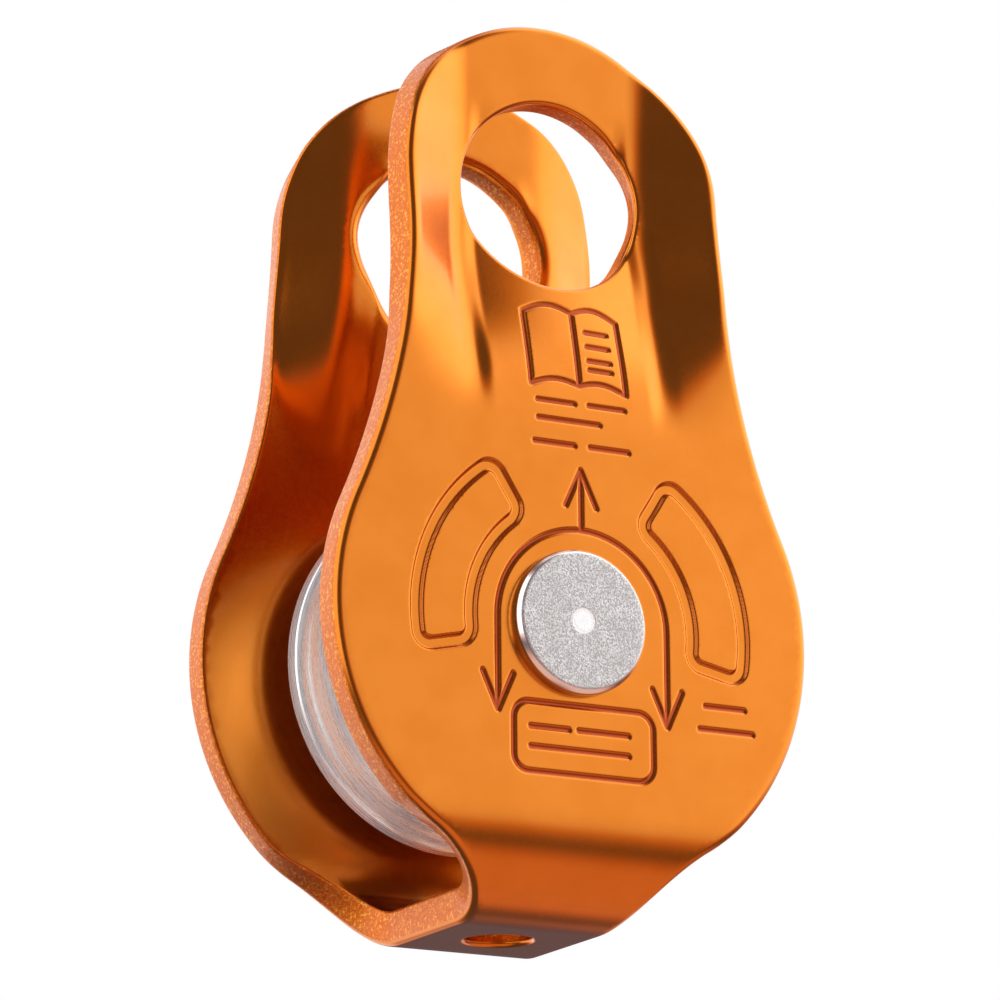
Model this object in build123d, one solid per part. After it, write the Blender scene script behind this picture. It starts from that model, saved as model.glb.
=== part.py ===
from build123d import *
from math import atan2, cos, pi, sin, sqrt
import os

# Compact rope pulley. One aluminium strip is bent into a U, and its two legs are the side plates.
# A grooved sheave runs between them on a riveted axle, with a bushing and a thrust washer each side.
# Millimetres. The origin is the centre of the attachment hole, midway between the plates.
# +Z points out of the top of the pulley, and the axle and the attachment hole run along Y.

# Side plates and the web that joins them
EYE_TO_AXLE = 40.35       # attachment hole to axle
AXLE_Z = -EYE_TO_AXLE
PLATE_T = 3.2             # strip thickness
FRAME_W = 29.5            # over both plates, at the axle
DISC_R = 23.75            # round lower part of a plate
DISC_Z = AXLE_Z + 0.2
EYE_R = 8.85              # attachment hole
EYE_LAND_R = 15.9         # round top of a plate
EYE_LAND_Z = 0.4
WAIST_Z = -3.2            # lower end of the straight sides beside the hole
DISC_END_Z = AXLE_Z - 19.2
WEB_BOTTOM_Z = AXLE_Z - 25.75
WEB_HALF_W = 7.5          # half width of the web under the sheave
NECK_X = 10.6             # half width of the neck, halfway from disc to web
NECK_Z = AXLE_Z - 21.7
BEND_R = 9.05             # outer radius of the two bends
WEB_HOLE_R = 3.0

# Pressed upper part, where both plates close in round the attachment hole
PRESS_START_Z = -23.2     # the flat of the plate ends here
PRESS_DEPTH = 4.0         # how far the middle is pushed in
MIDDLE_FULL_Z = 4.0       # the middle is at full depth from here up
FLUTE_FULL_Z = -1.0       # the two flutes beside it are at full depth from here up
FLUTE_X = 9.3             # middle line of a flute at its tip
FLUTE_LEAN = 1.3          # how much nearer the flutes stand at the top
FLUTE_WALL_W = 1.8        # width of the step from the middle down into a flute
FLUTE_FLOOR_W = 0.8
RIM_OVERRUN = 0.3         # the flank beyond a flute rises up to just past the rim
RIM_LOW_DEPTH = 1.0       # how far the rim leans in beside the hole
RIM_TOP_DEPTH = 2.1       # and at the top of the plate
SECTION_HEIGHTS = [PRESS_START_Z, -20.5, -17.5, -14, -10, -6, -2, 2, 6, 11, 17]
SECTION_XS = [0, 3.5, 6.0, 7.2, 8.2, 9.3, 11.0, 13.5, 18.0, 22.0]

# Sheave, and what it runs on
SHEAVE_R = 16.6
SHEAVE_HALF_W = 8.85      # over the flanges
ROPE_SEAT_R = 10.5        # bottom of the rope groove
GROOVE_ARC_R = 7.2        # radius of the groove's section
RIM_ROUND = 0.35
DISH_R = 12.5             # the side of a flange is flat outside this radius
DISH_H = 0.6              # and rises by this much to the hub inside it
HUB_R = 9.4
HUB_HALF_W = 10.85
BUSH_R = 6.5
SHAFT_R = 5.0
RUNNING_GAP = 0.05        # radial, shaft to bushing
FIT_GAP = 0.02            # radial, shaft to plate
HEAD_R = 6.5
HEAD_H = 1.35
HEAD_BEVEL = 0.45
HEAD_DIMPLE_R = 1.15
HEAD_DIMPLE_H = 0.12
WASHER_R = 8.8
WASHER_BORE_GAP = 0.1
SIDE_GAP = 0.07           # each side of a washer
THROUGH = FRAME_W         # half length of the cutters that pass right through


def smooth(t):
    """0 to 1 with no slope at either end."""
    t = min(max(t, 0.0), 1.0)
    return t * t * (3 - 2 * t)


def middle_depth(z):
    """How deep the strip between the flutes is pressed in at height z."""
    return PRESS_DEPTH * smooth((z - PRESS_START_Z) / (MIDDLE_FULL_Z - PRESS_START_Z))


def flute_depth(z):
    """The flutes go in sooner than the middle and end level with it."""
    return PRESS_DEPTH * smooth((z - PRESS_START_Z) / (FLUTE_FULL_Z - PRESS_START_Z))


def rim_depth(z):
    """The rim stays nearly flush up to the hole, then leans in towards the top."""
    top_lean = RIM_TOP_DEPTH - RIM_LOW_DEPTH
    return RIM_LOW_DEPTH * smooth((z + EYE_R) / 11) + top_lean * smooth((z - 1) / 15)


def waist_r():
    """Radius of the hollow sides, tangent to the disc and to the straight sides beside the hole."""
    rise = WAIST_Z - DISC_Z
    return (rise ** 2 + EYE_LAND_R ** 2 - DISC_R ** 2) / (2 * (DISC_R - EYE_LAND_R))


def rim_x(z):
    """Half width of a plate from the hollow of its sides upwards."""
    below = min(z - WAIST_Z, 0)
    return EYE_LAND_R + waist_r() - sqrt(waist_r() ** 2 - below ** 2)


def press_depth(x, z):
    """How far the outer face of a plate stands in from its flat lower part."""
    across = abs(x)
    flute_x = FLUTE_X - FLUTE_LEAN * smooth((z + 8) / 12)
    if across < flute_x:
        t = smooth((across - flute_x + FLUTE_FLOOR_W + FLUTE_WALL_W) / FLUTE_WALL_W)
        return middle_depth(z) * (1 - t) + flute_depth(z) * t
    t = (across - flute_x) / (rim_x(z) + RIM_OVERRUN - flute_x)
    return flute_depth(z) * (1 - t) + rim_depth(z) * t


def polar(centre, radius, angle):
    return (centre[0] + radius * cos(angle), centre[1] + radius * sin(angle))


def plate_outline():
    """Front view of a side plate: round top, hollow waist, round disc, neck and web."""
    hollow_r = waist_r()
    hollow = (EYE_LAND_R + hollow_r, WAIST_Z)
    lean = atan2(WAIST_Z - DISC_Z, hollow[0])
    touch = polar((0, DISC_Z), DISC_R, lean)
    disc_end = (sqrt(DISC_R ** 2 - (DISC_END_Z - DISC_Z) ** 2), DISC_END_Z)
    base_z = WEB_BOTTOM_Z - 1
    right = [
        Line((0, base_z), (WEB_HALF_W, base_z)),
        Line((WEB_HALF_W, base_z), (WEB_HALF_W, WEB_BOTTOM_Z + 1)),
        Spline((WEB_HALF_W, WEB_BOTTOM_Z + 1), (NECK_X, NECK_Z), disc_end,
               tangents=[(0, 1), (DISC_Z - DISC_END_Z, disc_end[0])]),
        ThreePointArc(disc_end, (DISC_R, DISC_Z), touch),
        ThreePointArc(touch, polar(hollow, hollow_r, pi + lean / 2), (EYE_LAND_R, WAIST_Z)),
        Line((EYE_LAND_R, WAIST_Z), (EYE_LAND_R, EYE_LAND_Z)),
        ThreePointArc((EYE_LAND_R, EYE_LAND_Z), polar((0, EYE_LAND_Z), EYE_LAND_R, pi / 4),
                      (0, EYE_LAND_Z + EYE_LAND_R)),
    ]
    half = Curve() + right
    return make_face(Plane.XZ * (half + mirror(half, about=Plane.YZ)))


def pressed_section(z):
    """Section across the front plate at height z."""
    xs = [-x for x in reversed(SECTION_XS[1:])] + SECTION_XS
    front = -FRAME_W / 2
    outer = Edge.make_spline([(x, front + press_depth(x, z), z) for x in xs])
    inner = Edge.make_spline([(x, front + press_depth(x, z) + PLATE_T, z) for x in xs])
    ends = [Edge.make_line(outer @ i, inner @ i) for i in (0, 1)]
    return Wire([outer, ends[1], inner, ends[0]])


def disc_y(radius, y0, y1, z=AXLE_Z):
    """Round bar along Y from y0 to y1."""
    return Pos(0, (y0 + y1) / 2, z) * Rot(90, 0, 0) * Cylinder(radius, y1 - y0)


def make_side_plates():
    wide = 3 * DISC_R
    leg_h = PRESS_START_Z - WEB_BOTTOM_Z
    leg_z = (PRESS_START_Z + WEB_BOTTOM_Z) / 2
    outside = Pos(0, 0, leg_z) * Box(wide, FRAME_W, leg_h)
    outside = fillet(outside.edges().filter_by(Axis.X).group_by(Axis.Z)[0], BEND_R)
    inside = Pos(0, 0, leg_z + PLATE_T) * Box(wide, FRAME_W - 2 * PLATE_T, leg_h)
    inside = fillet(inside.edges().filter_by(Axis.X).group_by(Axis.Z)[0], BEND_R - PLATE_T)
    bent = outside - inside
    front = Solid.make_loft([pressed_section(z) for z in SECTION_HEIGHTS])
    rear = mirror(front, about=Plane.XZ)
    outline = extrude(plate_outline(), amount=THROUGH, both=True)
    plates = (bent + front + rear) & outline
    plates -= disc_y(EYE_R, -THROUGH, THROUGH, 0)
    plates -= disc_y(SHAFT_R + FIT_GAP, -THROUGH, THROUGH)
    plates -= Pos(0, 0, WEB_BOTTOM_Z) * Cylinder(WEB_HOLE_R, 4 * PLATE_T)
    return plates


def make_sheave():
    """Turned wheel: two flanges, a round rope groove between them and a wide hub."""
    seat_centre = ROPE_SEAT_R + GROOVE_ARC_R
    lip_y = sqrt(GROOVE_ARC_R ** 2 - (seat_centre - SHEAVE_R) ** 2)
    half = [
        ThreePointArc((SHEAVE_R, lip_y), (ROPE_SEAT_R, 0), (SHEAVE_R, -lip_y)),
        Polyline((SHEAVE_R, -lip_y), (SHEAVE_R, -SHEAVE_HALF_W), (DISH_R, -SHEAVE_HALF_W),
                 (HUB_R, -SHEAVE_HALF_W - DISH_H), (HUB_R, -HUB_HALF_W), (BUSH_R, -HUB_HALF_W),
                 (BUSH_R, HUB_HALF_W), (HUB_R, HUB_HALF_W), (HUB_R, SHEAVE_HALF_W + DISH_H),
                 (DISH_R, SHEAVE_HALF_W), (SHEAVE_R, SHEAVE_HALF_W), (SHEAVE_R, lip_y)),
    ]
    wheel = revolve(make_face(Curve() + half), Axis.Y)
    rims = wheel.edges().filter_by(GeomType.CIRCLE).filter_by(lambda e: abs(e.radius - SHEAVE_R) < 0.01)
    return Pos(0, 0, AXLE_Z) * fillet(rims, RIM_ROUND)


def make_bushing():
    """Plain self-lubricating sleeve, pressed into the sheave."""
    return disc_y(BUSH_R, -HUB_HALF_W, HUB_HALF_W) - disc_y(SHAFT_R + RUNNING_GAP, -THROUGH, THROUGH)


def make_axle():
    """Solid rivet: a plain shank with a flat bevelled head upset outside each plate."""
    face = FRAME_W / 2
    axle = disc_y(SHAFT_R, -face, face)
    for side in (-1, 1):
        root, top = sorted((side * face, side * (face + HEAD_H)))
        head = disc_y(HEAD_R, root, top)
        rim = head.edges().filter_by(GeomType.CIRCLE).sort_by(Axis.Y)[-1 if side > 0 else 0]
        head = chamfer(rim, HEAD_BEVEL)
        low, high = sorted((side * (face + HEAD_H - HEAD_DIMPLE_H), side * (face + HEAD_H + 1)))
        axle += head - disc_y(HEAD_DIMPLE_R, low, high)
    return axle


def make_washer(side):
    """Flat thrust washer between the hub and a plate."""
    near = HUB_HALF_W + SIDE_GAP
    far = FRAME_W / 2 - PLATE_T - SIDE_GAP
    low, high = sorted((side * near, side * far))
    return disc_y(WASHER_R, low, high) - disc_y(SHAFT_R + WASHER_BORE_GAP, -THROUGH, THROUGH)


PARTS = {
    "side_plates": make_side_plates(),
    "sheave": make_sheave(),
    "bushing": make_bushing(),
    "axle": make_axle(),
    "washer_front": make_washer(-1),
    "washer_rear": make_washer(1),
}

os.makedirs("parts", exist_ok=True)
for name, solid in PARTS.items():
    export_step(solid, f"parts/{name}.step")
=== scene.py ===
from math import acos, asin, atan2, ceil, cos, pi, radians, sin, sqrt

import bpy
import numpy as np
from mathutils import Matrix, Vector
from mathutils.geometry import delaunay_2d_cdt
from mathutils.kdtree import KDTree


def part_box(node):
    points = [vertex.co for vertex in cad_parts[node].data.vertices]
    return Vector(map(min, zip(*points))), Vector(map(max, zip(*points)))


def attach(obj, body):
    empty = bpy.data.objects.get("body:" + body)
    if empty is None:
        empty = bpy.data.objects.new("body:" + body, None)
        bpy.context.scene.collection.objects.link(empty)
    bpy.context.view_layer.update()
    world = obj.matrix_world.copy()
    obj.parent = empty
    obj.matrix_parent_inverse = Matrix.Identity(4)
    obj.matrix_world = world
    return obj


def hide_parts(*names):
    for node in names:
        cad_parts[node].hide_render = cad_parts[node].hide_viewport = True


# A compact rope pulley. Shapes are worked out in millimetres and stored in metres.
# The origin is the centre of the attachment hole, the axle runs along Y and the front plate is at -Y.

MM = 0.001

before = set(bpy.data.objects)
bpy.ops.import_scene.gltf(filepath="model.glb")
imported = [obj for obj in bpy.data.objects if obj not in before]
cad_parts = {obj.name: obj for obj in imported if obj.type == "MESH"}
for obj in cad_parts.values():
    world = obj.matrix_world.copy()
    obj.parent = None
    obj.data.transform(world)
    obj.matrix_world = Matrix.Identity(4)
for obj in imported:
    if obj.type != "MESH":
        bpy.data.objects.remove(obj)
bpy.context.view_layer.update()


def node_box_mm(node):
    lo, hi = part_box(node)
    return np.array(lo) / MM, np.array(hi) / MM


PLATES_LO, PLATES_HI = node_box_mm("side_plates")
SHEAVE_HI = node_box_mm("sheave")[1]
AXLE_LO, AXLE_HI = node_box_mm("axle")

# Bent strip: two side plates and the web under the sheave
AXLE_Z = (AXLE_LO[2] + AXLE_HI[2]) / 2
PLATE_Y = PLATES_HI[1]              # outer face of a plate, at the axle
WEB_Z = PLATES_LO[2]                # underside of the web
DISC_R = PLATES_HI[0]               # round lower part of a plate
DISC_Z = AXLE_Z + 0.2
LAND_Z = 0.4                        # the round top of a plate is about this height
EYE_LAND_R = PLATES_HI[2] - LAND_Z
EYE_R = 8.85
STRIP_T = 3.2
BEND_R = 9.05
BEND_TOP_Z = WEB_Z + BEND_R
WAIST_Z = -3.2
WEB_HALF_W = 7.5
NECK_R = 14.0
WEB_HOLE_R = 3.0
SHANK_HOLE_R = 5.0
OUTER_ROUND = 0.75                  # rounding of the strip's outer edges
HOLE_OUTER_ROUND = 0.45
INNER_ROUND = 0.35
EYE_INNER_ROUND = 0.9

# Pressed upper part of the plates
PRESS_START_Z = -23.2
PRESS_DEPTH = 4.0
MIDDLE_FULL_Z = 2.5
FLUTE_FULL_Z = -1.0
FLUTE_X = 9.3
FLUTE_LEAN = 1.1                    # how much nearer the middle each flute stands at the top
FLUTE_LEAN_Z = -8.0                 # they lean in from here, over FLUTE_LEAN_H
FLUTE_LEAN_H = 12.0
FLUTE_WALL_W = 1.5
BEAD_DEPTH = 0.20                   # extra depth of the bead along each flute
BEAD_INNER_W = 1.4                  # its width towards the middle, and towards the rim
BEAD_OUTER_W = 2.2
BEAD_LOW_Z = PRESS_START_Z + 1.0    # it fades in from here, and out from BEAD_TOP_Z
BEAD_TOP_Z = -12.0
BEAD_FADE_H = 7.0
CROWN_DEPTH = 0.5                   # the middle is this much deeper CROWN_W away from its middle line
CROWN_W = 7.0
CROWN_END_X = 8.0                   # and it grows no further from here outwards
CROWN_LOW_Z = -19.0                 # it fades in over CROWN_LOW_H from here, and is gone at the hole's top
CROWN_LOW_H = 9.0
CROWN_TOP_H = 6.0
RIM_LOW_DEPTH = 1.0                 # how far the rim leans in beside the hole, and at the top of the plate
RIM_TOP_DEPTH = 2.1
RIM_LOW_H = 11.0                    # the first lean takes this height, from the hole's lowest point up
RIM_TOP_Z = 1.0                     # the second one starts here and takes RIM_TOP_H
RIM_TOP_H = 15.0
RIM_OVERRUN = 0.3                   # the flank's slope is set as if it ended this far past the rim
FAN_H = 12.0                        # this far above the press's start the flanks are straight slopes
FLANK_BOW = 2.2                     # how much more hollow the flanks are at the press's start
FLANK_START = 0.25                  # share of the flank that steepens from the flute
FLANK_EASE = 0.2                    # share of it that levels out into the rim
LEAN_SPREAD = 2.0                   # the cut edges follow the face's slope over twice this length

# Length along the strip, measured on its outer face from the middle of the web
WEB_FLAT = PLATE_Y - BEND_R
BEND_LENGTH = BEND_R * pi / 2
LEG_START = WEB_FLAT + BEND_LENGTH - BEND_TOP_Z     # add a height to get the length there
AXLE_S = AXLE_Z + LEG_START
EYE_S = LEG_START

# Stamped marks, about a centre beside the axle: pads on both plates and engraved lines on the front one
MARK_X = 0.6
MARK_HALF_W = 0.25                  # engraved line
MARK_FLOOR_HALF_W = 0.3 * MARK_HALF_W
MARK_WALL_W = 1.1 * MARK_HALF_W
MARK_DEPTH = 0.17
PAD_DEPTH = 0.34                    # channel round each curved pad
PAD_FLOOR_HALF_W = 0.38
PAD_WALL_W = 0.3
FAR = 9.0                           # further than any line's effect reaches

# Sheave
SHEAVE_R = SHEAVE_HI[0]
FLANGE_HALF_W = 8.85
ROPE_SEAT_R = 10.5
GROOVE_ARC_R = 7.2
RIM_ROUND = 0.35
DISH_R = 12.5
DISH_H = 0.6
HUB_R = 9.4
BUSH_R = 6.5

# Axle
SHANK_R = 5.0
HEAD_FACE_R = 6.1
HEAD_BEVEL = 0.45
DIMPLE_R = 1.15                     # shallow round mark in the middle of each head
DIMPLE_DEPTH = 0.015

# Mesh detail
EDGE_STEP = 0.3                     # between the points along an edge
FINE_STEP = 0.12                    # between the points of an engraved line
BORDER_GAP = 0.45                   # a face's own points keep this share of their spacing from its border,
BORDER_SPACING = 0.5                # with the spacing taken as no more than this
WALL_INSET = 0.12                   # the sheared look stops this far in on a rounded edge

# Studio
ROOM_LIGHT = 0.15
ROOM_COLOUR = (1.0, 0.85, 0.95)
# A panel has its azimuth, half width, lower and upper edge and softness in degrees, then its skew (how far
# it leans round with height) and its strength
PANELS = (
    (67.0, 61.0, -12.0, 74.0, 13.0, 0.75, 0.94),        # wide, on the right
    (74.0, 36.0, 4.0, 80.0, 14.0, 0.0, 1.10),           # the bright middle of it
    (132.0, 12.0, -36.0, 72.0, 6.0, 0.0, 0.75),         # right, behind
    (-84.0, 34.0, -12.0, 62.0, 8.0, 0.0, 1.40),         # left
    (20.0, 110.0, -78.0, -31.0, 10.0, 0.0, 0.68),       # low, in front and at the sides
    (-155.0, 42.0, -30.0, 60.0, 8.0, 0.0, 1.20),        # behind, to the left
    (0.0, 180.0, 80.0, 100.0, 8.0, 0.0, 0.90),          # overhead
)
SKEW_RISE = 15.0                    # a skewed panel stands at its azimuth at this elevation
PENUMBRA_DIM = 0.55                 # where the light is dimmer than this it has its full tint
PENUMBRA_GREEN = 0.40               # the soft borders of the panels are warm
PENUMBRA_BLUE = 0.20
FLOOR_Z = -0.30                     # the floor is in metres
FLOOR_HALF_W = 1.5

# Camera
CAMERA_AZIMUTH = -28.815
CAMERA_ELEVATION = -14.952
CAMERA_ROLL = -0.506
CAMERA_DISTANCE = 489.76
CAMERA_AIM_RIGHT = -6.615           # the aim's offset from the front plate at the axle, as the camera sees it
CAMERA_AIM_UP = 10.916
CAMERA_LENS = 201.18


# ---------------------------------------------------------------- small helpers

def smooth(t):
    """0 to 1 with no slope at either end."""
    t = np.clip(t, 0.0, 1.0)
    return t * t * (3 - 2 * t)


def arc(cx, cy, radius, start_deg, end_deg, step=0.3):
    """Points on an arc, both ends included, about step apart."""
    turn = radians(end_deg - start_deg)
    n = max(2, ceil(abs(turn) * radius / step))
    angles = radians(start_deg) + turn * np.arange(n + 1) / n
    return np.column_stack([cx + radius * np.cos(angles), cy + radius * np.sin(angles)])


def along(a, b, step=0.3):
    """Points on a straight line, both ends included, about step apart."""
    a, b = np.array(a, float), np.array(b, float)
    n = max(1, ceil(np.linalg.norm(b - a) / step))
    return a + (b - a) * (np.arange(n + 1) / n)[:, None]


def joined(*runs):
    """One list of points from runs that meet end to start."""
    out = [runs[0]]
    for run in runs[1:]:
        out.append(run[1:])
    return np.vstack(out)


def make_mesh(name, points_mm, faces, materials):
    mesh = bpy.data.meshes.new(name)
    mesh.from_pydata((np.asarray(points_mm) * MM).tolist(), [], faces)
    mesh.validate()
    mesh.polygons.foreach_set("use_smooth", [True] * len(mesh.polygons))
    for material in materials:
        mesh.materials.append(material)
    mesh.update()
    piece = bpy.data.objects.new(name, mesh)
    bpy.context.scene.collection.objects.link(piece)
    return piece


def point_attribute(piece, name, values):
    attribute = piece.data.attributes.new(name, "FLOAT", "POINT")
    attribute.data.foreach_set("value", np.asarray(values, np.float32))


# ---------------------------------------------------------------- shape of the pressed plates

def middle_depth(across, z):
    """How deep the plate is pressed in between the flutes. It is a little crowned below the hole."""
    ends = smooth((z - CROWN_LOW_Z) / CROWN_LOW_H) * (1 - smooth((z - EYE_R + CROWN_TOP_H) / CROWN_TOP_H))
    crown = CROWN_DEPTH * ends * (across / CROWN_W) ** 2
    return PRESS_DEPTH * smooth((z - PRESS_START_Z) / (MIDDLE_FULL_Z - PRESS_START_Z)) + crown


def flute_depth(z):
    """The flutes go in sooner than the middle and end level with it."""
    return PRESS_DEPTH * smooth((z - PRESS_START_Z) / (FLUTE_FULL_Z - PRESS_START_Z))


def rim_depth(z):
    """The rim stays nearly flush up to the hole, then leans in towards the top."""
    top_lean = RIM_TOP_DEPTH - RIM_LOW_DEPTH
    return RIM_LOW_DEPTH * smooth((z + EYE_R) / RIM_LOW_H) + top_lean * smooth((z - RIM_TOP_Z) / RIM_TOP_H)


def waist_r():
    """Radius of the hollow sides, tangent to the disc and to the straight sides beside the hole."""
    rise = WAIST_Z - DISC_Z
    return (rise ** 2 + EYE_LAND_R ** 2 - DISC_R ** 2) / (2 * (DISC_R - EYE_LAND_R))


def rim_x(z):
    """Half width of a plate from the hollow of its sides upwards."""
    below = np.clip(z - WAIST_Z, -waist_r(), 0)
    return EYE_LAND_R + waist_r() - np.sqrt(waist_r() ** 2 - below ** 2)


def flank_fall(q):
    """1 at the flute to 0 at the rim: a straight slope with a soft start and a longer soft end."""
    early = np.clip(FLANK_START - q, 0, None)
    late = np.clip(q - 1 + FLANK_EASE, 0, None)
    run = q - FLANK_START / 2 + early ** 2 / (2 * FLANK_START) - late ** 2 / (2 * FLANK_EASE)
    return 1 - run / (1 - FLANK_START / 2 - FLANK_EASE / 2)


def press_depth(x, z, bead=0.0):
    """How far a plate stands in from its flat lower part, with a bead of extra depth along each flute."""
    across = np.abs(x)
    flute_x = FLUTE_X - FLUTE_LEAN * smooth((z - FLUTE_LEAN_Z) / FLUTE_LEAN_H)
    t = smooth((across - flute_x + FLUTE_WALL_W) / FLUTE_WALL_W)
    inside = middle_depth(np.minimum(across, CROWN_END_X), z) * (1 - t) + flute_depth(z) * t
    # Beyond a flute the flank is steep at first and soon a straight slope out to the rim
    q = np.clip((across - flute_x) / (rim_x(z) + RIM_OVERRUN - flute_x), 0, 1)
    bow = 1 + FLANK_BOW * (1 - smooth((z - PRESS_START_Z) / FAN_H))
    outside = rim_depth(z) + (flute_depth(z) - rim_depth(z)) * flank_fall(q) ** bow
    off = across - flute_x
    shape = np.cos(np.clip(off / np.where(off < 0, BEAD_INNER_W, BEAD_OUTER_W), -1, 1) * pi / 2) ** 2
    ends = smooth((z - BEAD_LOW_Z) / BEAD_FADE_H) * (1 - smooth((z - BEAD_TOP_Z) / BEAD_FADE_H))
    return np.where(across < flute_x, inside, outside) + bead * shape * ends


def on_strip(x, s, drop):
    """The place of a point of the strip: x across it, s along it, drop below its outer face.

    The blank is punched flat, so its cut edges turn with the faces when it is pressed."""
    height = np.abs(s) - LEG_START
    side = np.where(s >= 0, -1.0, 1.0)
    angle = np.clip((BEND_TOP_Z - height) / BEND_R, 0, pi / 2)
    past_bend = np.clip(BEND_TOP_Z - height - BEND_LENGTH, 0, None)
    radius = BEND_R - drop
    in_bend = WEB_FLAT + radius * np.cos(angle) - past_bend
    bead = BEAD_DEPTH * np.clip(1 - 2 * drop / STRIP_T, 0, 1)
    reach = LEAN_SPREAD
    lean_x = (press_depth(x + reach, height) - press_depth(x - reach, height)) / (2 * reach)
    lean_z = (press_depth(x, height + reach) - press_depth(x, height - reach)) / (2 * reach)
    inwards = drop / np.sqrt(1 + lean_x ** 2 + lean_z ** 2)
    is_leg = height >= BEND_TOP_Z
    y = side * np.where(is_leg, PLATE_Y - press_depth(x, height, bead) - inwards, in_bend)
    z = np.where(is_leg, height - lean_z * inwards, BEND_TOP_Z - radius * np.sin(angle))
    return np.column_stack([x - np.where(is_leg, lean_x * inwards, 0), y, z])


# ---------------------------------------------------------------- outline of the strip, laid flat

def quarter_outline(step):
    """From the middle of the web's side to the top of the front plate, on the +X side."""
    disc_s, land_s = DISC_Z + LEG_START, LAND_Z + LEG_START
    hollow_r = waist_r()
    hollow_x, hollow_s = EYE_LAND_R + hollow_r, WAIST_Z + LEG_START
    lean = np.degrees(atan2(hollow_s - disc_s, hollow_x))
    neck_x = WEB_HALF_W + NECK_R
    neck_s = disc_s - sqrt((DISC_R + NECK_R) ** 2 - neck_x ** 2)
    dip = np.degrees(atan2(neck_s - disc_s, neck_x))
    return joined(
        along((WEB_HALF_W, 0), (WEB_HALF_W, neck_s), step),
        arc(neck_x, neck_s, NECK_R, 180, 180 + dip, step),
        arc(0, disc_s, DISC_R, dip, lean, step),
        arc(hollow_x, hollow_s, hollow_r, 180 + lean, 180, step),
        along((EYE_LAND_R, hollow_s), (EYE_LAND_R, land_s), step),
        arc(0, land_s, EYE_LAND_R, 0, 90, step),
    )


def strip_outline(step):
    """The whole flat outline, anticlockwise, without a repeated point."""
    right = quarter_outline(step)
    front = joined(right, (right * [-1, 1])[::-1])
    return joined(front, -front)[:-1]


def circle_loop(s, radius, step):
    """Round hole at x = 0, clockwise, so that the strip lies to the left of the loop."""
    return arc(0, s, radius, 360, 0, step)[:-1]


def left_normals(loop):
    """Unit normals pointing to the left of each point's direction of travel."""
    ahead = np.roll(loop, -1, 0) - np.roll(loop, 1, 0)
    ahead /= np.linalg.norm(ahead, axis=1)[:, None]
    return np.column_stack([-ahead[:, 1], ahead[:, 0]])


def edge_levels(outer_round, inner_round, rows=6):
    """(distance in from the edge, drop below the outer face), from the outer face to the inner one."""
    levels = []
    for k in range(rows + 1):
        a = pi / 2 * k / rows
        levels.append((outer_round * (1 - sin(a)), outer_round * (1 - cos(a))))
    wall = STRIP_T - outer_round - inner_round
    for k in range(1, 4):
        levels.append((0.0, outer_round + wall * k / 4))
    for k in range(rows + 1):
        a = pi / 2 * k / rows
        levels.append((inner_round * (1 - cos(a)), STRIP_T - inner_round * (1 - sin(a))))
    return levels


# ---------------------------------------------------------------- stamped marks

def rounded_box_loop(half_x, half_y, radius):
    runs = []
    for sx, sy, start in ((1, 1, 0), (-1, 1, 90), (-1, -1, 180), (1, -1, 270)):
        runs.append(arc(sx * (half_x - radius), sy * (half_y - radius), radius, start, start + 90))
    return np.vstack(runs + [runs[0][:1]])


def straight(a, b):
    return np.array([a, b], float)


def arrow_head(tip, half_w, rise):
    """Two short lines that meet at the tip. Their far ends are higher than it by the rise."""
    x, z = tip
    return joined(straight((x - half_w, z + rise), tip), straight(tip, (x + half_w, z + rise)))


def mark_strokes():
    """Engraved lines as runs of points, across and above the centre of the marks."""
    shoe_r, shoe_low, top = 8.5, -8.4, 14.0
    strokes = [
        joined(straight((-shoe_r, shoe_low), (-shoe_r, 0)), arc(0, 0, shoe_r, 180, 0, 0.5),
               straight((shoe_r, 0), (shoe_r, shoe_low))),
        straight((0, shoe_r), (0, top)),
        arrow_head((0, top), 1.55, -3.3),
        arrow_head((-shoe_r, shoe_low), 1.5, 3.3),
        arrow_head((shoe_r, shoe_low), 1.5, 3.3),
    ]
    # A plain frame with a few bars stands where a maker would stamp a name
    strokes.append(rounded_box_loop(7.0, 3.1, 1.5) + [0, -10.5])
    for x, half in ((-3.4, 1.9), (2.0, 2.5)):
        strokes.append(straight((x - half, -9.6), (x + half, -9.6)))
    strokes.append(straight((-5.3, -11.4), (4.5, -11.4)))
    strokes += book_strokes()
    # Plain bars stand where a maker would stamp the ratings
    bars = {20.1: ((-4.2, -0.5), (1.0, 4.6)), 18.4: ((-4.2, 2.0),), 16.2: ((-4.6, -0.6), (1.0, 4.9)),
            -6.1: ((12.4, 16.4),), -8.2: ((11.8, 17.2),)}
    for z, row in bars.items():
        strokes += [straight((start, z), (end, z)) for start, end in row]
    return strokes


def book_strokes():
    """Open book, the plain sign for reading the instructions."""
    spine, half_w, low, high = 0.2, 4.7, 21.6, 28.7
    strokes = [straight((spine, low + 0.3), (spine, high + 0.3))]
    for side in (-1, 1):
        outer = spine + side * (half_w if side > 0 else half_w + 0.2)
        width = outer - spine
        t = np.linspace(0, 1, 10)
        bow = 0.75 * np.sin(pi * t)
        for base in (high, low):
            rise = base + 0.3 * (1 - t) + bow * (1.0 if base == high else 0.75)
            strokes.append(np.column_stack([spine + width * t, rise]))
        strokes.append(straight((outer, low), (outer, high)))
    for z in (27.3, 25.9, 24.5, 23.6):
        strokes.append(straight((1.4, z), (3.6, z)))
    return strokes


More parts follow.
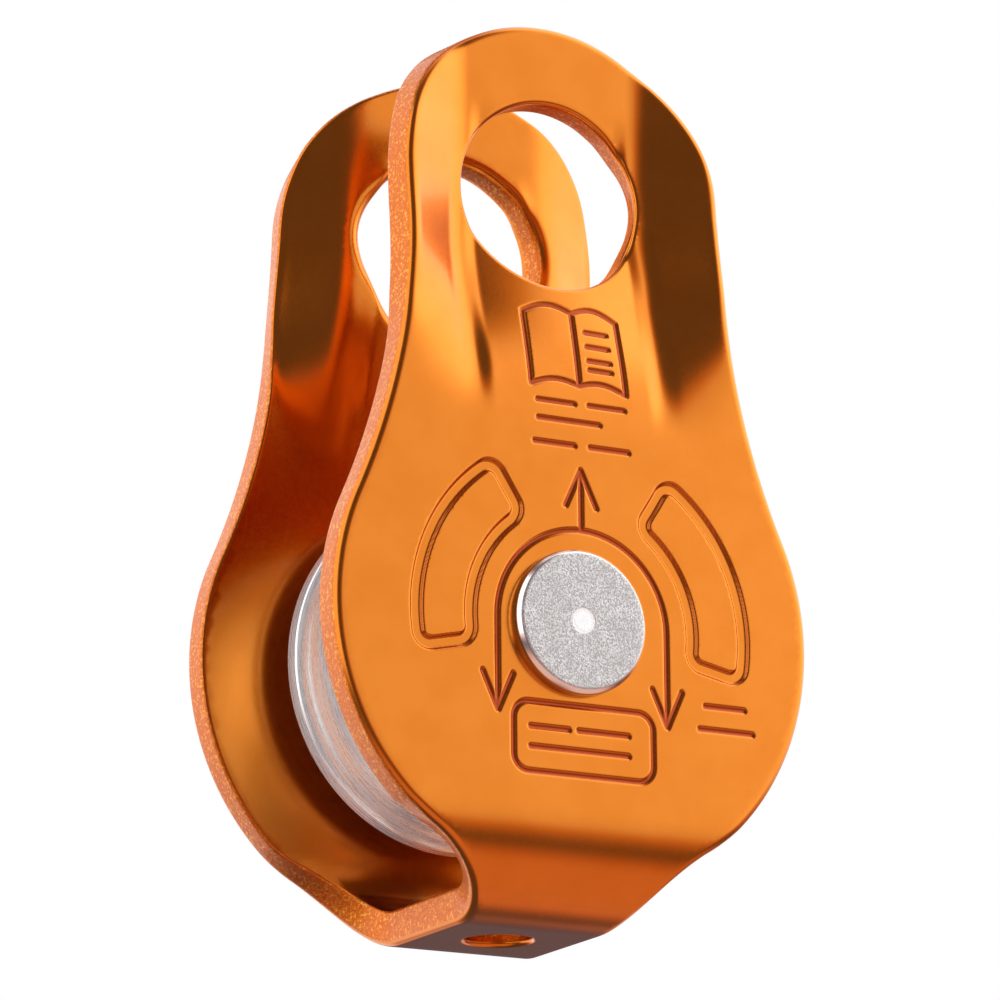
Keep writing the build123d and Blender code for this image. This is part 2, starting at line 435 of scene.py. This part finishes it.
def distance_to_strokes(points, reach=1.0):
    """Distance from each point to the nearest stroke, right up to the given reach."""
    best = np.full(len(points), FAR)
    for stroke in STROKES:
        lo, hi = stroke.min(0) - reach, stroke.max(0) + reach
        near = np.flatnonzero(((points > lo) & (points < hi)).all(1))
        at = points[near]
        for a, b in zip(stroke[:-1], stroke[1:]):
            run = b - a
            t = np.clip((at - a) @ run / (run @ run), 0, 1)
            best[near] = np.minimum(best[near], np.hypot(*(at - a - t[:, None] * run).T))
    return best


def distance_to_pad(points):
    """Distance to the channel round the nearer of the two curved pads beside the axle's head."""
    mid_r, half_r, round_r = 13.8, 2.65, 1.25
    centre, half_turn = radians(157.25), radians(34.95)
    across = -np.abs(points[:, 0])
    radius = np.hypot(across, points[:, 1])
    angle = np.arctan2(points[:, 1], across)
    angle = np.where(angle < -pi / 2, angle + 2 * pi, angle)
    a = np.abs(radius - mid_r) - half_r + round_r
    b = (np.abs(angle - centre) - half_turn) * radius + round_r
    outside = np.hypot(np.maximum(a, 0), np.maximum(b, 0))
    return np.abs(outside + np.minimum(np.maximum(a, b), 0) - round_r)


STROKES = mark_strokes()


# ---------------------------------------------------------------- the bent strip

def mark_distances(x, s):
    """Distances from a point of the strip to a pad's channel and to an engraved line, if it is in front."""
    on_front = s > 0
    at = np.column_stack([np.where(on_front, x - MARK_X, -x - MARK_X), np.abs(s) - AXLE_S])
    return distance_to_pad(at), np.where(on_front, distance_to_strokes(at), FAR)


def mark_drop(x, s):
    """(how deep the marks cut the outer face, how much of it is coloured: engraving in the lines, painted
    shade on the pads' channel walls) at a point of the strip.
    """
    pad, line = mark_distances(x, s)
    pad_cut = 1 - smooth((pad - PAD_FLOOR_HALF_W) / PAD_WALL_W)
    line_cut = 1 - smooth((line - MARK_FLOOR_HALF_W) / MARK_WALL_W)
    # Painted shade: the pads' channel walls, not their floors, get the darker red; the engraved lines are
    # darker over their whole width as their own colour.
    pad_wall_shade = 1 - np.abs(2 * pad_cut - 1)
    return PAD_DEPTH * pad_cut + MARK_DEPTH * line_cut, np.maximum(pad_wall_shade, line_cut)


def lattice_step(x, s, outer):
    """Which lattice a point needs: 0 for the finest, each further one twice as coarse."""
    height = np.abs(s) - LEG_START
    step = np.full(len(x), 2)
    step[height > PRESS_START_Z - 1] = 1
    if not outer:
        return step
    pad, line = mark_distances(x, s)
    pad_edge = PAD_FLOOR_HALF_W + PAD_WALL_W
    step[(pad < pad_edge + 2 * MARK_HALF_W) | (line < 4 * MARK_HALF_W)] = 1
    step[(pad < pad_edge + FINE_STEP) | (line < 2 * MARK_HALF_W)] = 0
    return step


def lattice_points(spacing, half_w, half_l, outer):
    """Triangular lattice over the flat strip, thinned out where less detail is needed."""
    row_h = spacing * sqrt(3) / 2
    rows = np.arange(-int(half_l / row_h), int(half_l / row_h) + 1)
    reach = int((half_w + half_l) / spacing) + 1
    j, i = np.meshgrid(rows, np.arange(-reach, reach + 1), indexing="ij")
    i, j = i.ravel(), j.ravel()
    x, s = (i + j / 2) * spacing, j * row_h
    keep = np.abs(x) < half_w
    i, j, x, s = i[keep], j[keep], x[keep], s[keep]
    step = lattice_step(x, s, outer)
    keep = (i % 2 ** step == 0) & (j % 2 ** step == 0)
    return np.column_stack([x[keep], s[keep]]), spacing * 2.0 ** step[keep]


def inside_region(points, ring_outline, holes):
    """True where a point lies within the outline's ring and outside every hole's ring."""
    quarter = ring_outline[:len(ring_outline) // 4 + 1]
    order = np.argsort(quarter[:, 1])
    width = np.interp(np.abs(points[:, 1]), quarter[order, 1], quarter[order, 0], right=-1)
    ok = np.abs(points[:, 0]) < width
    for centre_s, radius in holes:
        ok &= np.hypot(points[:, 0], points[:, 1] - centre_s) > radius
    return ok


def fill_face(rings, holes, spacing, outer):
    """Points and triangles of one face of the strip inside its rings. The rings' points come first."""
    outline = rings[0]
    fill, local = lattice_points(spacing, outline[:, 0].max(), outline[:, 1].max(), outer)
    ok = inside_region(fill, outline, holes)
    fill, local = fill[ok], local[ok]
    border = np.vstack(rings)
    tree = KDTree(len(border))
    for k, (x, s) in enumerate(border):
        tree.insert((x, s, 0), k)
    tree.balance()
    clear = np.array([tree.find((x, s, 0))[2] for x, s in fill])
    fill = fill[clear > BORDER_GAP * np.minimum(local, BORDER_SPACING)]
    edges, start = [], 0
    for ring in rings:
        n = len(ring)
        edges += [(start + k, start + (k + 1) % n) for k in range(n)]
        start += n
    points = np.vstack([border, fill])
    made = delaunay_2d_cdt([Vector(p) for p in points.tolist()], edges, [], 0, 1e-6, True)
    if len(made[0]) != len(points):
        raise ValueError("the face's points changed while it was triangulated")
    source = [ids[0] for ids in made[3]]
    triangles = np.array([[source[v] for v in face] for face in made[2]])
    return points, triangles[inside_region(points[triangles].mean(1), outline, holes)]


def edge_rings(loop, levels):
    """Rings of points down one edge of the strip, from its outer face to its inner one.

    Gives lists of the rings' places on the flat strip, of their drops and of how sheared they look."""
    n = len(loop)
    normals = left_normals(loop)
    flat = [loop + normals * inset for inset, _ in levels]
    drops = [np.full(n, drop) for _, drop in levels]
    cut = [np.full(n, float(inset < WALL_INSET and drop > 0.7 * OUTER_ROUND)) for inset, drop in levels]
    return flat, drops, cut


def ring_faces(first, n, count):
    """Faces between count rings of n points each, numbered from first."""
    faces = []
    for k in range(count - 1):
        a = first + k * n + np.arange(n)
        b = first + k * n + (np.arange(n) + 1) % n
        faces += np.column_stack([a, a + n, b + n, b]).tolist()
    return faces


def build_strip():
    """The side plates: a flat blank with rounded edges and holes, pressed and bent into a U."""
    holes = [(EYE_S, EYE_R, EYE_INNER_ROUND), (-EYE_S, EYE_R, EYE_INNER_ROUND),
             (AXLE_S, SHANK_HOLE_R, INNER_ROUND), (-AXLE_S, SHANK_HOLE_R, INNER_ROUND),
             (0.0, WEB_HOLE_R, INNER_ROUND)]
    loops = [strip_outline(EDGE_STEP)] + [circle_loop(s, r, EDGE_STEP) for s, r, _ in holes]
    levels = [edge_levels(OUTER_ROUND, INNER_ROUND)]
    levels += [edge_levels(HOLE_OUTER_ROUND, r_in) for _, _, r_in in holes]
    n_levels = len(levels[0])
    flat, drops, cut, faces, first = [], [], [], [], 0
    outer_rings, inner_rings, ring_at = [], [], []
    for loop, level in zip(loops, levels):
        n = len(loop)
        ring_flat, ring_drops, ring_cut = edge_rings(loop, level)
        flat += ring_flat
        drops += ring_drops
        cut += ring_cut
        faces += ring_faces(first, n, n_levels)
        outer_rings.append(ring_flat[0])
        inner_rings.append(ring_flat[-1])
        ring_at.append((first, first + n * (n_levels - 1), n))
        first += n * n_levels
    for which, rings in ((0, outer_rings), (1, inner_rings)):
        outer = which == 0
        round_holes = [(s, (r + (HOLE_OUTER_ROUND if outer else r_in)) * cos(EDGE_STEP / r / 2))
                       for s, r, r_in in holes]
        points, triangles = fill_face(rings, round_holes, FINE_STEP * (1 if outer else 2), outer)
        n_border = sum(len(r) for r in rings)
        ids = np.concatenate([np.arange(at[which], at[which] + at[2]) for at in ring_at]
                             + [first + np.arange(len(points) - n_border)])
        fill = points[n_border:]
        flat.append(fill)
        drops.append(np.full(len(fill), 0.0 if outer else STRIP_T))
        cut.append(np.zeros(len(fill)))
        first += len(fill)
        corners = ids[triangles]
        faces += (corners if outer else corners[:, ::-1]).tolist()
    flat, drops, cut = np.vstack(flat), np.concatenate(drops), np.concatenate(cut)
    marks, engraving_and_wall_shade = mark_drop(flat[:, 0], flat[:, 1])
    on_face = drops < 0.5 * OUTER_ROUND
    drops = drops + np.where(on_face, marks, 0)
    piece = make_mesh("bent_strip", on_strip(flat[:, 0], flat[:, 1], drops), faces, [anodised])
    # This carries the engraving colour of the lines and painted shade on the pads' channel walls.
    point_attribute(piece, "engraving_and_wall_shade", np.where(on_face, engraving_and_wall_shade, 0))
    point_attribute(piece, "cut_edge", cut)
    return piece


# ---------------------------------------------------------------- turned pieces

def build_turned(name, profile, materials, turns=288):
    """A ring-shaped solid about the axle from a closed section of (radius, y) points."""
    profile = np.asarray(profile, float)
    n = len(profile)
    angles = 2 * pi * np.arange(turns) / turns
    r, y = profile[:, 0], profile[:, 1]
    points = np.column_stack([np.outer(np.cos(angles), r).ravel(), np.tile(y, turns),
                              AXLE_Z + np.outer(np.sin(angles), r).ravel()])
    faces = []
    for k in range(turns):
        a, b = k * n, (k + 1) % turns * n
        faces += [(a + m, a + (m + 1) % n, b + (m + 1) % n, b + m) for m in range(n)]
    return make_mesh(name, points, faces, materials)


def rounded_section(corners, radii, step=0.06):
    """A section's corners, each replaced by an arc of its own radius."""
    corners = np.asarray(corners, float)
    out = []
    for k, radius in enumerate(radii):
        here, before, after = corners[k], corners[k - 1], corners[(k + 1) % len(corners)]
        if radius == 0:
            out.append(here)
            continue
        u, v = before - here, after - here
        u, v = u / np.linalg.norm(u), v / np.linalg.norm(v)
        half = acos(np.clip(u @ v, -1, 1)) / 2
        reach = radius / np.tan(half)
        middle = here + (u + v) / np.linalg.norm(u + v) * radius / sin(half)
        start, end = here + u * reach - middle, here + v * reach - middle
        turn = pi - 2 * half
        count = max(2, ceil(radius * turn / step))
        for t in np.arange(count + 1) / count:
            out.append(middle + (start * sin((1 - t) * turn) + end * sin(t * turn)) / sin(turn))
    return np.array(out)


def build_sheave():
    """Grooved wheel with flat flange sides, dished inwards to a wide hub."""
    half_w, hub_w = FLANGE_HALF_W, SHEAVE_HI[1]
    groove_c = ROPE_SEAT_R + GROOVE_ARC_R
    lip = sqrt(GROOVE_ARC_R ** 2 - (groove_c - SHEAVE_R) ** 2)
    span = np.degrees(asin(lip / GROOVE_ARC_R))
    groove = arc(groove_c, 0, GROOVE_ARC_R, 180 + span, 180 - span, 0.25)
    # The last groove points give way to a small rounding into the rim's land
    inner = np.array([p for p in groove if abs(p[1]) < lip - 0.25])
    lip_round = [(SHEAVE_R - 0.12, lip - 0.14), (SHEAVE_R - 0.02, lip + 0.04)]
    rim = rounded_section([(SHEAVE_R, lip + 0.18), (SHEAVE_R, half_w), (DISH_R, half_w),
                           (HUB_R, half_w + DISH_H), (HUB_R, hub_w), (BUSH_R, hub_w)],
                          [0, RIM_ROUND, 0.8, 0.3, 0.15, 0])
    upper = np.vstack([lip_round, rim])
    if inner[0][1] > 0:
        inner = inner[::-1]
    section = np.vstack([inner, upper, (upper * [1, -1])[::-1]])
    return build_turned("turned_sheave", section[::-1], [turned_aluminium])


def build_axle():
    """Rivet with a low round head outside each plate."""
    face, top = PLATE_Y, AXLE_HI[1]
    head_r = AXLE_HI[0]
    floor = top - DIMPLE_DEPTH
    corners = [(0, floor), (DIMPLE_R - 0.15, floor), (DIMPLE_R, floor), (DIMPLE_R + 0.05, top),
               (DIMPLE_R + 0.2, top), (HEAD_FACE_R - 0.7, top), (HEAD_FACE_R, top),
               (head_r, top - HEAD_BEVEL), (head_r, face), (SHANK_R, face)]
    half = rounded_section(corners, [0, 0, 0, 0, 0, 0, 0.5, 0.35, 0, 0], 0.05)
    half[0][0] = 0.0
    section = np.vstack([half, (half * [1, -1])[::-1]])
    return build_turned("riveted_axle", section[::-1], [rivet_steel])


# ---------------------------------------------------------------- materials

def start_material(name):
    material = bpy.data.materials.new(name)
    material.use_nodes = True
    tree = material.node_tree
    return material, tree, tree.nodes["Principled BSDF"]


def feed(tree, socket, value):
    """Link another node's output into a socket, or set the socket to a value."""
    if isinstance(value, bpy.types.NodeSocket):
        tree.links.new(value, socket)
    else:
        socket.default_value = value


def add_node(tree, kind, settings=None, **inputs):
    """A node with its settings and inputs, which go by name, or by number as _0, _1 and so on."""
    node = tree.nodes.new(kind)
    for key, value in (settings or {}).items():
        setattr(node, key, value)
    for key, value in inputs.items():
        feed(tree, node.inputs[int(key[1:])] if key[0] == "_" else node.inputs[key], value)
    return node


def maths(tree, operation, *values):
    node = add_node(tree, "ShaderNodeMath", {"operation": operation})
    for socket, value in zip(node.inputs, values):
        feed(tree, socket, value)
    return node.outputs[0]


def rescale(tree, value, low, high, to_low=0.0, to_high=1.0):
    """A smooth step between two levels as the value goes from low to high."""
    node = add_node(tree, "ShaderNodeMapRange", {"interpolation_type": "SMOOTHSTEP"},
                    _0=value, _1=low, _2=high, _3=to_low, _4=to_high)
    return node.outputs[0]


def blend_colour(tree, share, first, second):
    """The first colour where share is 0 and the second where it is 1."""
    node = add_node(tree, "ShaderNodeMix", {"data_type": "RGBA"}, _0=share)
    for index, colour in ((6, first), (7, second)):
        feed(tree, node.inputs[index], (*colour, 1) if isinstance(colour, tuple) else colour)
    return node.outputs[2]


def noise(tree, place, size, detail=2.0, roughness=0.5):
    """Noise from 0 to 1 with grains of about the given size in metres."""
    return add_node(tree, "ShaderNodeTexNoise", Vector=place, Scale=1 / size, Detail=detail,
                    Roughness=roughness).outputs["Fac"]


def object_place(tree):
    return add_node(tree, "ShaderNodeTexCoord").outputs["Object"]


def axle_place(tree, place):
    """Distance of a place from the axle's centre line, then its X, its Y and its height over the axle."""
    x, y, z = add_node(tree, "ShaderNodeSeparateXYZ", Vector=place).outputs
    height = maths(tree, "SUBTRACT", z, AXLE_Z * MM)
    square = maths(tree, "MULTIPLY_ADD", x, x, maths(tree, "MULTIPLY", height, height))
    return maths(tree, "SQRT", square), x, y, height


def anodised_aluminium():
    """Polished orange anodising, rough on the sheared edges with painted glints there, redder in the stamped
    lines, and darker red as painted shade on the pads' channel walls.
    """
    material, tree, shader = start_material("anodised_aluminium")
    place = object_place(tree)
    engraving_and_wall_shade = add_node(tree, "ShaderNodeAttribute", {"attribute_name": "engraving_and_wall_shade"}).outputs["Fac"]
    sheared = add_node(tree, "ShaderNodeAttribute", {"attribute_name": "cut_edge"}).outputs["Fac"]
    mottle = rescale(tree, noise(tree, place, 0.004, 3.0), 0.3, 0.7)
    colour = blend_colour(tree, mottle, (0.685, 0.193, 0.009), (0.715, 0.211, 0.014))
    # Darker red: the engraving's own colour in the lines, and painted shade on the pads' channel walls.
    colour = blend_colour(tree, engraving_and_wall_shade, colour, (0.40, 0.055, 0.004))
    # Painted glints: bright yellow flecks in the sheared edges' colour stand in for sparkle off their rough
    # surface.
    painted_glints = rescale(tree, noise(tree, place, 0.00032, 3.0, 0.7), 0.50, 0.68)
    edge_colour_and_glints = blend_colour(tree, painted_glints, (0.66, 0.150, 0.010), (0.95, 0.42, 0.06))
    colour = blend_colour(tree, sheared, colour, edge_colour_and_glints)
    tree.links.new(colour, shader.inputs["Base Color"])
    shader.inputs["Metallic"].default_value = 1.0
    shader.inputs["Coat Weight"].default_value = 0.35
    shader.inputs["Coat Roughness"].default_value = 0.10
    grain = noise(tree, place, 0.00022, 3.0, 0.6)
    rough = maths(tree, "MULTIPLY_ADD", engraving_and_wall_shade, 0.16, maths(tree, "MULTIPLY", sheared, 0.22))
    rough = maths(tree, "ADD", rough, rescale(tree, grain, 0.3, 0.7, 0.19, 0.25))
    tree.links.new(rough, shader.inputs["Roughness"])
    pits = rescale(tree, noise(tree, place, 0.00035, 3.0, 0.7), 0.35, 0.62)
    height = maths(tree, "MULTIPLY_ADD", grain, 0.05, maths(tree, "MULTIPLY", sheared, pits))
    bump = add_node(tree, "ShaderNodeBump", Strength=0.5, Distance=0.00006, Height=height)
    tree.links.new(bump.outputs[0], shader.inputs["Normal"])
    return material


def turned_metal():
    """Bright aluminium with fine rings left by the lathe."""
    material, tree, shader = start_material("turned_aluminium")
    place = object_place(tree)
    radius, x, y, height = axle_place(tree, place)
    # The noise changes slowly round the axle, so that it reads as rings
    turn = maths(tree, "MULTIPLY", maths(tree, "ARCTAN2", height, x), 0.0008)
    rings = add_node(tree, "ShaderNodeCombineXYZ", X=radius, Y=y, Z=turn)
    lines = noise(tree, rings.outputs[0], 0.00018, 3.0, 0.6)
    colour = blend_colour(tree, rescale(tree, lines, 0.3, 0.7), (0.87, 0.95, 0.99), (0.97, 1.0, 1.0))
    tree.links.new(colour, shader.inputs["Base Color"])
    shader.inputs["Metallic"].default_value = 0.65
    tree.links.new(rescale(tree, lines, 0.3, 0.7, 0.22, 0.36), shader.inputs["Roughness"])
    bump = add_node(tree, "ShaderNodeBump", Strength=0.25, Distance=0.00003, Height=lines)
    tree.links.new(bump.outputs[0], shader.inputs["Normal"])
    return material


def tumbled_steel():
    """Grey rivet steel, finely pitted, with a paler mark in the middle of each head."""
    material, tree, shader = start_material("tumbled_steel")
    place = object_place(tree)
    radius = axle_place(tree, place)[0]
    middle = rescale(tree, radius, (DIMPLE_R + 0.1) * MM, (DIMPLE_R - 0.1) * MM)
    bevel = rescale(tree, radius, (HEAD_FACE_R - 0.1) * MM, (HEAD_FACE_R + 0.1) * MM)
    fine = noise(tree, place, 0.00015, 3.0, 0.7)
    coarse = noise(tree, place, 0.0013, 3.0, 0.6)
    patches = rescale(tree, coarse, 0.2, 0.7, 0.5, 1.0)
    pits = maths(tree, "MULTIPLY", rescale(tree, fine, 0.38, 0.62), patches)
    colour = blend_colour(tree, pits, (0.42, 0.42, 0.41), (0.84, 0.87, 0.88))
    colour = blend_colour(tree, middle, colour, (0.92, 0.93, 0.93))
    colour = blend_colour(tree, bevel, colour, (0.86, 0.86, 0.86))
    tree.links.new(colour, shader.inputs["Base Color"])
    shader.inputs["Metallic"].default_value = 1.0
    tree.links.new(rescale(tree, bevel, 0.0, 1.0, 0.46, 0.16), shader.inputs["Roughness"])
    strength = maths(tree, "MULTIPLY", pits, rescale(tree, bevel, 0.0, 1.0, 1.0, 0.1))
    bump = add_node(tree, "ShaderNodeBump", Strength=0.4, Distance=0.00004, Height=strength)
    tree.links.new(bump.outputs[0], shader.inputs["Normal"])
    return material


def plain_polymer(name, colour, roughness):
    material, tree, shader = start_material(name)
    shader.inputs["Base Color"].default_value = (*colour, 1)
    shader.inputs["Roughness"].default_value = roughness
    return material


# ---------------------------------------------------------------- studio

def soft_panel(tree, turn, rise, azimuth, half_w, low, high, soft, skew, strength):
    """Light from one soft panel of the studio. Azimuth 0 is in front of the pulley and 90 to its right."""
    middle = maths(tree, "MULTIPLY_ADD", rise, skew, azimuth - SKEW_RISE * skew)
    away = maths(tree, "WRAP", maths(tree, "SUBTRACT", turn, middle), 180.0, -180.0)
    away = maths(tree, "ABSOLUTE", away)
    across = rescale(tree, away, half_w + soft, half_w - soft)
    above = rescale(tree, rise, low - soft, low + soft)
    below = rescale(tree, rise, high + soft, high - soft)
    across = maths(tree, "MULTIPLY", across, strength)
    return maths(tree, "MULTIPLY", across, maths(tree, "MULTIPLY", above, below))


def build_world():
    """Soft panels round a dim studio. What shows behind the pulley is plain white paper."""
    world = bpy.data.worlds.new("studio")
    world.use_nodes = True
    tree = world.node_tree
    tree.nodes.clear()
    direction = add_node(tree, "ShaderNodeTexCoord").outputs["Generated"]
    x, y, z = add_node(tree, "ShaderNodeSeparateXYZ", Vector=direction).outputs
    degrees = 180 / pi
    turn = maths(tree, "MULTIPLY", maths(tree, "ARCTAN2", x, maths(tree, "MULTIPLY", y, -1.0)), degrees)
    rise = maths(tree, "MULTIPLY", maths(tree, "ARCSINE", z), degrees)
    total = 0.0
    for panel in PANELS:
        total = maths(tree, "ADD", soft_panel(tree, turn, rise, *panel), total)
    green = maths(tree, "MULTIPLY", total, rescale(tree, total, PENUMBRA_DIM, 1.0, PENUMBRA_GREEN, 1.0))
    blue = maths(tree, "MULTIPLY", total, rescale(tree, total, PENUMBRA_DIM, 1.0, PENUMBRA_BLUE, 1.0))
    tint = add_node(tree, "ShaderNodeCombineColor", Red=total, Green=green, Blue=blue)
    panels = add_node(tree, "ShaderNodeBackground", Color=tint.outputs[0], Strength=1.0)
    room = add_node(tree, "ShaderNodeBackground", Color=(*ROOM_COLOUR, 1), Strength=ROOM_LIGHT)
    lit = add_node(tree, "ShaderNodeAddShader", _0=panels.outputs[0], _1=room.outputs[0])
    paper = add_node(tree, "ShaderNodeBackground", Color=(1, 1, 1, 1), Strength=1.0)
    seen = add_node(tree, "ShaderNodeLightPath").outputs["Is Camera Ray"]
    mix = add_node(tree, "ShaderNodeMixShader", _0=seen, _1=lit.outputs[0], _2=paper.outputs[0])
    out = add_node(tree, "ShaderNodeOutputWorld", Surface=mix.outputs[0])
    out.is_active_output = True
    bpy.context.scene.world = world


def build_floor():
    """Pale floor some way under the pulley, which hangs free."""
    mesh = bpy.data.meshes.new("floor")
    corners = [(x * FLOOR_HALF_W, y * FLOOR_HALF_W, FLOOR_Z) for x, y in ((-1, -1), (1, -1), (1, 1), (-1, 1))]
    mesh.from_pydata(corners, [], [(0, 1, 2, 3)])
    floor = bpy.data.objects.new("floor", mesh)
    bpy.context.scene.collection.objects.link(floor)
    material, tree, shader = start_material("paper")
    shader.inputs["Base Color"].default_value = (0.90, 0.93, 0.95, 1)
    shader.inputs["Roughness"].default_value = 0.9
    mesh.materials.append(material)
    floor.visible_glossy = False


def build_camera():
    """Long lens from the left and below, a little rolled."""
    azimuth, elevation = radians(CAMERA_AZIMUTH), radians(CAMERA_ELEVATION)
    forward = Vector((-sin(azimuth) * cos(elevation), cos(azimuth) * cos(elevation), -sin(elevation)))
    right = Vector((cos(azimuth), sin(azimuth), 0))
    up = right.cross(forward)
    aim = Vector((0, -PLATE_Y, AXLE_Z)) + right * CAMERA_AIM_RIGHT + up * CAMERA_AIM_UP
    data = bpy.data.cameras.new("camera")
    data.lens = CAMERA_LENS
    data.sensor_width = 36.0
    data.clip_start, data.clip_end = 0.01, 20.0
    camera = bpy.data.objects.new("camera", data)
    turn = Matrix((right, up, -forward)).transposed() @ Matrix.Rotation(radians(CAMERA_ROLL), 3, "Z")
    camera.matrix_world = Matrix.Translation((aim - forward * CAMERA_DISTANCE) * MM) @ turn.to_4x4()
    bpy.context.scene.collection.objects.link(camera)
    bpy.context.scene.camera = camera


# ---------------------------------------------------------------- assembly

anodised = anodised_aluminium()
turned_aluminium = turned_metal()
rivet_steel = tumbled_steel()

strip = build_strip()
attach(strip, "frame")
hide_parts("side_plates")

sheave = build_sheave()
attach(sheave, "sheave")
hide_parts("sheave")

axle = build_axle()
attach(axle, "frame")
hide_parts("axle")

bushing_polymer = plain_polymer("bushing_polymer", (0.012, 0.012, 0.014), 0.45)
washer_polymer = plain_polymer("washer_polymer", (0.03, 0.03, 0.032), 0.5)
for node, slot, material in (("bushing", "bushing", bushing_polymer),
                             ("washer_front", "washers", washer_polymer),
                             ("washer_rear", "washers", washer_polymer)):
    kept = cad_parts[node]
    kept.data.materials.clear()
    kept.data.materials.append(material)

build_floor()
build_world()
build_camera()
bpy.context.scene.view_settings.view_transform = "Standard"
